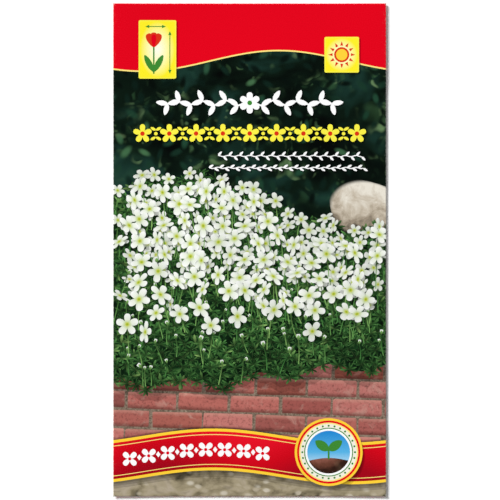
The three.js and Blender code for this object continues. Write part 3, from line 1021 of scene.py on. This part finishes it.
back = {
    "frame": (37.5, -50.0, 51.0),  # half its width, its foot and its head
    "frameLine": 0.35,
    "monthY": 41.0,
    "monthCell": (5.4, 6.0),
    "monthGap": 0.55,
    "sowing": (1, 2, 3),  # months, from 0 on
    "bloom": (4, 5, 6),
    "signY": 26.0,
    "signPitch": 18,
    "signRadius": 6.2,
    "lines": (13.0, -24.0, 7.4),  # where they begin and end, and how far apart they are
    "lineHalf": 33,
    "lineWidth": 0.3,
    "label": (4.0, -46.0, 34.0, -30.0),
    "posy": (-33.0, -46.0, -2.0, -30.0),
}


# A box with rounded corners, and a narrow rim in another ink.
def layLabel(rimName, inkName, x0, y0, x1, y1):
    layBack(rimName, roundedBox(x0 - 0.3, y0 - 0.3, x1 + 0.3, y1 + 0.3, 0.8), 86)
    layBack(inkName, roundedBox(x0, y0, x1, y1, 0.6), 87)


# A small picture of the same flowers, on leaves in a green box.
def layPosy(x0, y0, x1, y1):
    layLabel("signGreen", "hollow", x0, y0, x1, y1)
    draw = np.random.default_rng(8)
    leaves = scatter(draw, (x0 + 2.4, y0 + 2.4), (x1 - 3.6, y1 - 2.2), 3.0, 0.15)
    flowers = scatter(draw, (x0 + 3.4, y0 + 3.2), (x1 - 5.6, y1 - 3.2), 5.4, 0.06)
    bright = np.full(len(leaves), 0.6)
    for shift in (-backShift, backShift):
        draw = np.random.default_rng(3)
        order = inTurn(88, len(leaves))
        layLeaves(draw, leaves + (shift, 0), order, (1.4, 2.3), 8, bright, bright + 0.3)
        order = inTurn(90, len(flowers))
        layFlowers(draw, flowers + (shift, 0), order, (2.5, 2.9), np.full(len(flowers), 0.95))


# A cream ground, a frame, a row of twelve months, four signs, writing lines, a label and a picture.
def layBackSide():
    for side in (-1, 1):  # the picture ends just round each side fold
        low, high = np.sort([side * halfPrint, side * beyond])
        lay("cream", boxOutline(low, -beyond, high, beyond), 79.2)
    half, low, high = back["frame"]
    line = back["frameLine"]
    for y in (high, low - line):
        layBack("signGreen", boxOutline(-half, y, half, y + line), 80)
    for x in (-half, half):
        layBack("signGreen", boxOutline(x - line / 2, low - line, x + line / 2, high + line), 81)
    width, height = back["monthCell"]
    months = dict.fromkeys(back["sowing"], "signGreen") | dict.fromkeys(back["bloom"], "signRed")
    for month in range(12):
        x, y = (month - 5.5) * (width + back["monthGap"]), back["monthY"]
        cell = roundedBox(x - width / 2, y, x + width / 2, y + height, 0.7)
        layBack(months.get(month, "paleGreen"), cell, 82)
    for place, laySign in enumerate((laySunSign, layDropSign, laySeedSign, layApartSign)):
        x, y = (place - 1.5) * back["signPitch"], back["signY"]
        layBack("signGreen", roundOutline(40), 83, (x, y), frameOf(0, back["signRadius"]))
        layBack("cream", roundOutline(40), 84, (x, y), frameOf(0, back["signRadius"] * 0.9))
        laySign(x, y)
    top, bottom, step = back["lines"]
    half = back["lineHalf"]
    for y in np.arange(top, bottom, -step):
        layBack("ruleGrey", boxOutline(-half, y, half, y + back["lineWidth"]), 85)
    layLabel("ruleGrey", "white", *back["label"])
    layPosy(*back["posy"])


# A disc inside eight rays.
def laySunSign(x, y):
    layBack("signRed", ray, 88, *ringOf(8, (x, y), 2.5, 0.45, 1.6))
    layBack("signRed", roundOutline(20), 88, (x, y), frameOf(0, 2.0))


# A drop of water, which is a petal upside down.
def layDropSign(x, y):
    layBack("signGreen", petalOutline(24), 88, (x, y + 3.4), frameOf(np.pi, 2.3, 6.6))


# A seed under the soil's line, and its sprout.
def laySeedSign(x, y):
    layBack("ruleGrey", boxOutline(-4.0, 0.3, 4.0, 0.7), 88, (x, y))
    layBack("signRed", roundOutline(14), 88, (x, y - 2.2), frameOf(0, 0.9, 0.7))
    layBack("signGreen", leafOutline(12), 88, (x, y + 0.5), frameOf([0.6, -0.6], 0.7, 3.0))


# Two sprouts apart.
def layApartSign(x, y):
    for stem in (x - 2.4, x + 2.4):
        layBack("signGreen", boxOutline(-0.2, -2.8, 0.2, 1), 88, (stem, y))
        layBack("signGreen", leafOutline(12), 88, (stem, y), frameOf([0.8, -0.8], 0.6, 2.4))


# The bottom flap in plain red, with one gold line across it.
def layFlaps():
    low = -endY - turnArc / 2
    lay("headerRed", boxOutline(-60, -beyond, 60, low), 79.4)
    lay("paleGold", boxOutline(-60, low - 15.6, 60, low - 15.0), 79.6)


for layPart in (layBackdrop, layWall, layCushion, layDrift, layHead, layGarlands, layRibbon,
                layFlaps, layBackSide):
    layPart()
print("print laid out,", sum(len(batch["rings"]) for batch in plate), "shapes")


# The printed blank as one flat net of triangles

net = {
    "pitch": 3.0,
    "gridStart": 1.3,
    "offSideFold": (0.4, 1.0),  # a strip without a grid: its middle past the front, and half its width
    "offEndFold": (0.5, 1.2),
    "foldSteps": 7,  # lines along each fold that keep it round
    "weld": 1e-4,  # points nearer than this are one
    "darkest": 0.35,  # as far as shadows on shadows go
    "wearReach": 0.5,  # from a fold's middle line
}


# Even steps over an arc that begins at start, and the same on the other side of the middle.
def foldSteps(start, arc):
    steps = start + arc * np.linspace(0, 1, net["foldSteps"])
    return np.concatenate([steps, -steps])


# The blank's outline, the lines along its folds, and its bounds.
def cutBlank():
    flapHalf, cut = sideX - pocket["flapSide"], endY - pocket["panelCut"]
    tip = endY + turnRadius + pocket["paper"] / 2 - pocket["cornerShort"]
    left = -(sideX + foldArc + sideX + pocket["seamEdge"])
    right = sideX + foldArc + sideX - pocket["seamUnder"]
    bottom, top = -(endY + turnArc + pocket["bottomFlap"]), endY + turnArc + pocket["topFlap"]
    inner = flapHalf + pocket["slit"]
    outer = 2 * sideX + foldArc - inner
    half = [(outer, cut), (outer, tip), (inner, tip), (inner, cut), (flapHalf, cut), (flapHalf, top)]
    upper = [(right, cut)] + half + [(-s, v) for s, v in reversed(half)] + [(left, cut)]
    lower = [(s, -v if v < top else bottom) for s, v in reversed(upper)]
    lines = [[(s, -tip), (s, tip)] for s in foldSteps(sideX, foldArc)]
    lines += [[(-flapHalf, v), (flapHalf, v)] for v in foldSteps(endY, turnArc)]
    return np.array(lower + upper), lines, (left, bottom, right, top)


blankRing, foldLines, blankBounds = cutBlank()


# Points along a line, no further apart than the net's pitch.
def alongLine(start, end):
    start, end = np.array(start), np.array(end)
    count = int(np.ceil(np.linalg.norm(end - start) / net["pitch"])) + 1
    return start + (end - start) * np.linspace(0, 1, count)[:, None]


# A square grid over the blank's bounds, without the strips that the fold lines take up.
def gridPoints():
    left, bottom, right, top = blankBounds
    s = np.arange(left + net["gridStart"], right, net["pitch"])
    v = np.arange(bottom + net["gridStart"], top, net["pitch"])
    points = beside(s, v[:, None]).reshape(-1, 2)
    for axis, start, (middle, half) in ((0, sideX, net["offSideFold"]), (1, endY, net["offEndFold"])):
        points = points[np.abs(np.abs(points[:, axis]) - start - middle) > half]
    return points


# Points added along an outline, so that no side is longer than the net's pitch.
def closeSteps(ring):
    following = np.roll(ring, -1, axis=0)
    counts = np.maximum(np.ceil(np.linalg.norm(following - ring, axis=1) / net["pitch"]).astype(int), 1)
    side = np.repeat(np.arange(len(ring)), counts)
    share = (np.arange(len(side)) - np.repeat(np.cumsum(counts) - counts, counts)) / counts[side]
    return ring[side] + (following[side] - ring[side]) * share[:, None]


# Joins point lists into one, with the numbers that each list's points have there.
def joined(pieces):
    starts = np.cumsum([0] + [len(piece) for piece in pieces])
    return np.concatenate(pieces), [np.arange(low, high) for low, high in zip(starts[:-1], starts[1:])]


# Adds the fold lines and a plain grid to points. Returns them all, and the edges of the fold lines.
def withFolds(points):
    points, parts = joined([points, *(alongLine(*line) for line in foldLines), gridPoints()])
    return points, np.concatenate([beside(part[:-1], part[1:]) for part in parts[1:-1]])


# Triangulates points with edges and outlines, inside the outlines only where kind is 1. Returns the
# flat points, the triangles, and as two arrays each which triangle lies in which outline and which
# point came from which given one.
def cutNet(points, edges, rings, kind):
    edges = [(int(i), int(j)) for i, j in edges]
    faces = [[int(i) for i in ring] for ring in rings]
    made = delaunay_2d_cdt([Vector(p) for p in points], edges, faces, kind, net["weld"], True)
    flat, triangles = np.array([tuple(p) for p in made[0]]), np.array(made[2])
    a, b, c = (flat[triangles[:, k]] for k in range(3))
    area = (b[:, 0] - a[:, 0]) * (c[:, 1] - a[:, 1]) - (b[:, 1] - a[:, 1]) * (c[:, 0] - a[:, 0])
    triangles[area < 0] = triangles[area < 0][:, ::-1]
    return flat, triangles, unrolled(made[5]), unrolled(made[3])


# A list of lists as two arrays: which list each value is in, and the values.
def unrolled(lists):
    counts = np.array([len(values) for values in lists])
    values = np.fromiter(chain.from_iterable(lists), dtype=int, count=counts.sum())
    return np.repeat(np.arange(len(lists)), counts), values


# The paint that shows on each triangle: the top shape over it, darkened by the shadows above that.
# Where there is no blank, the answer is 0, and else the number of a row of the list of paints.
def paintOf(count, over, shapes):
    owner, ids = over
    onBlank = np.zeros(count, dtype=bool)
    onBlank[owner[ids == 0]] = True
    owner, shape = owner[ids > 0], ids[ids > 0] - 1
    veils = shapes["veil"][shape]
    top = np.full(count, -1)
    np.maximum.at(top, owner[veils == 0], shape[veils == 0])
    above = (veils > 0) & (shape > top[owner])
    dark = np.ones(count)
    np.multiply.at(dark, owner[above], 1 - veils[above])
    dark = np.round(np.maximum(dark, net["darkest"]), 3)
    paints, number = np.unique(beside(top, dark)[onBlank], axis=0, return_inverse=True)
    paint = np.zeros(count, dtype=int)
    paint[onBlank] = number.ravel() + 1
    return paint, paints


# The edges where the paint changes. A point that only a hidden outline made on such an edge is
# passed over: from each point that stays, every edge is followed to the next one that stays.
def seenEdges(triangles, paint, stays):
    count = len(stays)
    start, end = triangles.ravel(), np.roll(triangles, -1, axis=1).ravel()
    left = np.repeat(paint, 3)
    key = start * count + end
    order = np.argsort(key)
    twin = end * count + start
    spot = np.minimum(np.searchsorted(key[order], twin), len(key) - 1)
    paired = key[order][spot] == twin
    right = np.where(paired, left[order][spot], 0)
    edges = beside(start, end)[(left != right) & ((start < end) | ~paired)]
    both = np.concatenate([edges, edges[:, ::-1]])
    passing = (np.bincount(both[:, 0], minlength=count) == 2) & ~stays
    neighbours = np.bincount(both[:, 0], weights=both[:, 1], minlength=count).astype(int)
    first, ahead = both[~passing[both[:, 0]]].T
    behind = first
    while passing[ahead].any():
        moving = passing[ahead]
        further = neighbours[ahead] - behind
        behind, ahead = np.where(moving, ahead, behind), np.where(moving, further, ahead)
    return beside(first, ahead)[first < ahead]


# The printed face. All outlines are cut into a first net, which gives the paint everywhere. The
# second net has only the edges where the paint changes, the fold lines and a plain grid.
def printedNet():
    painted = np.argsort(np.concatenate([batch["order"] for batch in plate]), kind="stable")
    shapes = {key: np.concatenate([batch[key] for batch in plate])[painted]
              for key in ("middles", "frames", "tint", "shade", "veil")}
    names = list(dict.fromkeys(batch["ink"] for batch in plate))
    numbers = [np.full(len(batch["rings"]), names.index(batch["ink"])) for batch in plate]
    shapes["ink"] = np.concatenate(numbers)[painted]
    rings = list(chain.from_iterable(batch["rings"] for batch in plate))
    points, ringIds = joined([closeSteps(ring) for ring in [blankRing] + [rings[i] for i in painted]])
    firstFlat, firstNet, over, sources = cutNet(points, [], ringIds, 1)
    paint, paints = paintOf(len(firstNet), over, shapes)
    given = np.zeros(len(firstFlat), dtype=bool)
    given[sources[0]] = True
    used, edges = np.unique(seenEdges(firstNet, paint, given), return_inverse=True)
    points, folds = withFolds(firstFlat[used])
    flat, triangles, _, _ = cutNet(points, np.concatenate([edges.reshape(-1, 2), folds]), [], 0)
    under = BVHTree.FromPolygons(np.pad(firstFlat, ((0, 0), (0, 1))).tolist(), firstNet.tolist())
    middles = np.pad(flat[triangles].mean(axis=1), ((0, 0), (0, 1)), constant_values=1)
    met = [under.ray_cast(middle, (0, 0, -1))[2] for middle in middles.tolist()]
    number = np.array([0 if index is None else paint[index] for index in met])
    top, dark = paints[number[number > 0] - 1].T
    used, compact = np.unique(triangles[number > 0], return_inverse=True)
    return flat[used], compact.reshape(-1, 3), top.astype(int), dark, shapes, names


# The edges that only one triangle has, in that triangle's direction.
def rimEdges(triangles):
    edges = np.concatenate([triangles[:, [0, 1]], triangles[:, [1, 2]], triangles[:, [2, 0]]])
    start, end = edges.T
    size = triangles.max() + 1
    return edges[~np.isin(start * size + end, end * size + start)]


# The sheet's inner face: a plain net with the same rim. Returns its flat points, its triangles and
# the point there of each point of the printed net's rim.
def plainNet(flat, rim):
    nextOf = dict(rim.tolist())
    ring = [int(rim[0, 0])]
    while nextOf[ring[-1]] != ring[0]:
        ring.append(nextOf[ring[-1]])
    points, folds = withFolds(flat[ring])
    result, triangles, (owner, _), (found, given) = cutNet(points, folds, [range(len(ring))], 1)
    used, compact = np.unique(triangles[np.unique(owner)], return_inverse=True)
    resultOf = np.zeros(len(points), dtype=int)
    resultOf[given] = found
    innerOf = np.zeros(len(flat), dtype=int)
    innerOf[ring] = np.searchsorted(used, resultOf[:len(ring)])
    return result[used], compact.reshape(-1, 3), innerOf


# A smooth mesh of triangles between points, which are given in millimetres.
def meshFrom(name, points, triangles):
    mesh = bpy.data.meshes.new(name)
    mesh.vertices.add(len(points))
    mesh.vertices.foreach_set("co", np.ascontiguousarray(points * mm, dtype=np.float32).ravel())
    mesh.loops.add(triangles.size)
    mesh.loops.foreach_set("vertex_index", triangles.astype(np.int32).ravel())
    mesh.polygons.add(len(triangles))
    mesh.polygons.foreach_set("loop_start", np.arange(0, triangles.size, 3, dtype=np.int32))
    mesh.update(calc_edges=True)
    mesh.polygons.foreach_set("use_smooth", np.ones(len(triangles), dtype=bool))
    return newObject(name, mesh)


# Gives the first triangles or their corners their values, and all others the same one.
def setAttribute(mesh, name, values, others=0.0):
    full = np.full((len(mesh.polygons), *values.shape[1:]), others, dtype=np.float32)
    full[:len(values)] = values
    kind, field = ("FLOAT_VECTOR", "vector") if values.ndim == 3 else ("FLOAT", "value")
    attribute = mesh.attributes.new(name, kind, "FACE" if values.ndim == 1 else "CORNER")
    attribute.data.foreach_set(field, full.ravel())


# Two triangles for each edge, from a to b, of a strip between it and an inner one.
def stripOf(a, b, innerA, innerB):
    return np.concatenate([np.stack([b, a, innerA], 1), np.stack([b, innerA, innerB], 1)])


# How much the folds rub the ink: 1 where the paper turns, and gone a little way from there.
def foldWear(s, v):
    sideFold, endFold = np.abs(np.abs(s) - sideX - foldArc / 2), np.abs(np.abs(v) - endY - turnArc / 2)
    return np.clip(1 - np.minimum(sideFold, endFold) / net["wearReach"], 0, 1)


# One closed mesh: the printed face half the paper's thickness above the sheet's middle, the plain
# face as far below it, and the rim between them.
def makeEnvelope():
    flat, printed, top, dark, shapes, names = printedNet()
    rim = rimEdges(printed)
    plainFlat, plain, innerOf = plainNet(flat, rim)
    outerUp, innerUp = faceDirection(*flat.T), faceDirection(*plainFlat.T)
    half = pocket["paper"] / 2
    points = np.concatenate([placeOnSheet(*flat.T) + outerUp * half,
                             placeOnSheet(*plainFlat.T) - innerUp * half])
    edgeFaces = stripOf(*rim.T, *(innerOf[rim.T] + len(flat)))
    triangles = np.concatenate([printed, plain[:, ::-1] + len(flat), edgeFaces])
    piece = meshFrom("printed_envelope", points, triangles)
    mesh = piece.data

    # inks, one for each triangle: the top shape's, or bare paper
    for name in names + ["cream", "innerPaper"]:
        mesh.materials.append(materials[name])
    slots = np.full(len(triangles), len(names) + 1, dtype=np.int32)
    slots[:len(printed)] = np.where(top >= 0, shapes["ink"][top], len(names))
    mesh.polygons.foreach_set("material_index", slots)
    setAttribute(mesh, "inkTint", shapes["tint"][top], 1.0)
    setAttribute(mesh, "inkShade", np.where(top >= 0, shapes["shade"][top], 1) * dark, 1.0)

    # each corner's place in its shape's own coordinates
    offset = flat[printed] - shapes["middles"][top][:, None, :]
    place = np.einsum("tcj,tji->tci", offset, np.linalg.inv(shapes["frames"])[top])
    setAttribute(mesh, "inkPlace", np.pad(place, ((0, 0), (0, 0), (0, 1))))
    setAttribute(mesh, "inkWear", foldWear(*flat.T)[printed])
    setPrintMap(mesh, flat, printed, plainFlat, plain, rim)

    # the fold's and the front's true slopes, and flat edges
    normals = np.concatenate([outerUp, -innerUp])[triangles]
    a, b, c = (points[edgeFaces[:, k]] for k in range(3))
    normals[-len(edgeFaces):] = unit(np.cross(b - a, c - a))[:, None, :]
    mesh.normals_split_custom_set(normals.reshape(-1, 3).tolist())
    return piece


printMap = {
    "margin": 1.01,
    "small": 0.1,  # the scale of the plain face and of the rim
    "inset": (20, 10.5),  # how far in from the blank's two upper corners their middles lie
    "ring": 0.98,
}


# The map for the finish: the unfolded print at full size, and in its two empty upper corners the
# plain face at a tenth of it and the rim as a thin ring.
def setPrintMap(mesh, flat, printed, plainFlat, plain, rim):
    left, bottom, right, top = blankBounds
    size = max(right - left, top - bottom) * printMap["margin"]
    insetX, insetY = printMap["inset"]
    a, b = flat[rim.T]
    strip = stripOf(a, b, a * printMap["ring"], b * printMap["ring"])
    places = np.concatenate([
        flat[printed],
        plainFlat[plain[:, ::-1]] * printMap["small"] + (left + insetX, top - insetY),
        strip * printMap["small"] + (right - insetX, top - insetY)])
    places = (places - (left, bottom)) / size
    mesh.uv_layers.new(name="OFBake").data.foreach_set("uv", places.astype(np.float32).ravel())


# The seed, the sleeve and the glue

seedHeap = {
    "count": 420,
    "half": (0.33, 0.24, 0.13),  # a grain's half sizes
    "vary": (0.85, 1.1),
    "wide": 0.12,  # how much wider a grain is at one end
    "edge": 0.4,  # kept free along the heap's box
}


# A ball of an octahedron's faces, each cut in four and pushed out to the sphere.
def ballMesh():
    corners = np.array([(1, 0, 0), (-1, 0, 0), (0, 1, 0), (0, -1, 0), (0, 0, 1), (0, 0, -1)], dtype=float)
    faces = np.array([(0, 2, 4), (2, 1, 4), (1, 3, 4), (3, 0, 4), (2, 0, 5), (1, 2, 5), (3, 1, 5), (0, 3, 5)])
    a, b, c = (corners[faces[:, k]] for k in range(3))
    ab, bc, ca = (a + b) / 2, (b + c) / 2, (c + a) / 2
    quarters = ((a, ab, ca), (ab, b, bc), (ca, bc, c), (ab, bc, ca))
    loose = np.concatenate([np.stack(quarter, 1) for quarter in quarters])
    points, index = np.unique(np.round(loose.reshape(-1, 3), 6), axis=0, return_inverse=True)
    return unit(points), index.reshape(-1, 3)


# Grains lie at random in an ellipse in the heap's box, each turned its own way and a little wider
# at one end.
def makeSeeds():
    draw = np.random.default_rng(4)
    low, high = (np.array(corner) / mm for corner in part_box("seeds"))
    ball, faces = ballMesh()
    count = seedHeap["count"]
    angle = draw.uniform(0, 2 * np.pi, count)
    reach = np.sqrt(draw.uniform(0, 1, count))
    half = np.array(seedHeap["half"]) * draw.uniform(*seedHeap["vary"], (count, 1))
    middle, heap = (low + high) / 2, (high - low) / 2 - seedHeap["edge"]
    x = middle[0] + heap[0] * reach * np.cos(angle)
    y = middle[1] + heap[1] * reach * np.sin(angle)
    z = draw.uniform(low[2] + half[:, 2], high[2] - half[:, 2] * 0.9)
    turn = draw.uniform(0, 2 * np.pi, count)[:, None]
    ballX, ballY, ballZ = np.moveaxis(ball * half[:, None, :], -1, 0)
    ballY = ballY * (1 + seedHeap["wide"] * ball[:, 0])
    points = beside(ballX * np.cos(turn) - ballY * np.sin(turn) + x[:, None],
                    ballX * np.sin(turn) + ballY * np.cos(turn) + y[:, None], ballZ + z[:, None])
    triangles = faces + (np.arange(count) * len(ball))[:, None, None]
    return meshFrom("loose_seeds", points.reshape(-1, 3), triangles.reshape(-1, 3))


# A seed's coat: matt dark brown, lighter in places, with fine warts.
def seedCoat():
    coat = Finish("seedCoat")
    warts = coat.add("ShaderNodeTexVoronoi", "Distance", {"Vector": coat.place, "Scale": 9000})
    colour = coat.noise(1800).ramp({0.3: "2a1a10", 0.55: "4a3020", 0.75: "6b4a30"})
    return coat.made({"Base Color": colour, "Normal": coat.bump(warts, 0.5, 0.04), "Roughness": 0.6})


# Glassine: pale, smooth and a little see-through, with faint cloudy fibres.
def glassine():
    paper = Finish("glassine")
    cloud = paper.noise(380, 5, 0.65)
    return paper.made({
        "Base Color": cloud.ramp({0.35: "e3dcc6", 0.65: "f3eedd"}), "Normal": paper.bump(cloud, 0.15, 0.03),
        "Roughness": 0.32, "Subsurface Weight": 0.15, "Subsurface Radius": (mm, mm, mm)})


# Dried glue: dull and yellowish, in streaks where the roller spread it.
def driedGlue():
    glue = Finish("driedGlue")
    streak = glue.noise(900, 4, place=glue.stretched((1, 0.15, 1)))
    colour = streak.ramp({0.3: "c3ad78", 0.7: "dccb9c"})
    return glue.made({"Base Color": colour, "Roughness": streak * 0.3 + 0.3})


# Putting it together

materials = {name: printedInk(name, look, roughness)
             for roughness, group in inks for name, look in group.items()}
print("materials made,", len(materials))

makeCamera()
makeLight()
makeFloor()

envelope = makeEnvelope()
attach(envelope, "root")
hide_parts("envelope")
print("envelope folded,", len(envelope.data.polygons), "triangles")

seeds = makeSeeds()
seeds.data.materials.append(seedCoat())
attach(seeds, "root")
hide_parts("seeds")

glueFinish = driedGlue()
dressed = {"inner_sleeve": glassine()}
dressed.update(dict.fromkeys(("seam_glue", "bottom_flap_glue", "top_flap_glue"), glueFinish))
for nodeName, finish in dressed.items():
    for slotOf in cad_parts[nodeName].material_slots:
        slotOf.material = finish
print("sleeve, seeds and glue dressed")
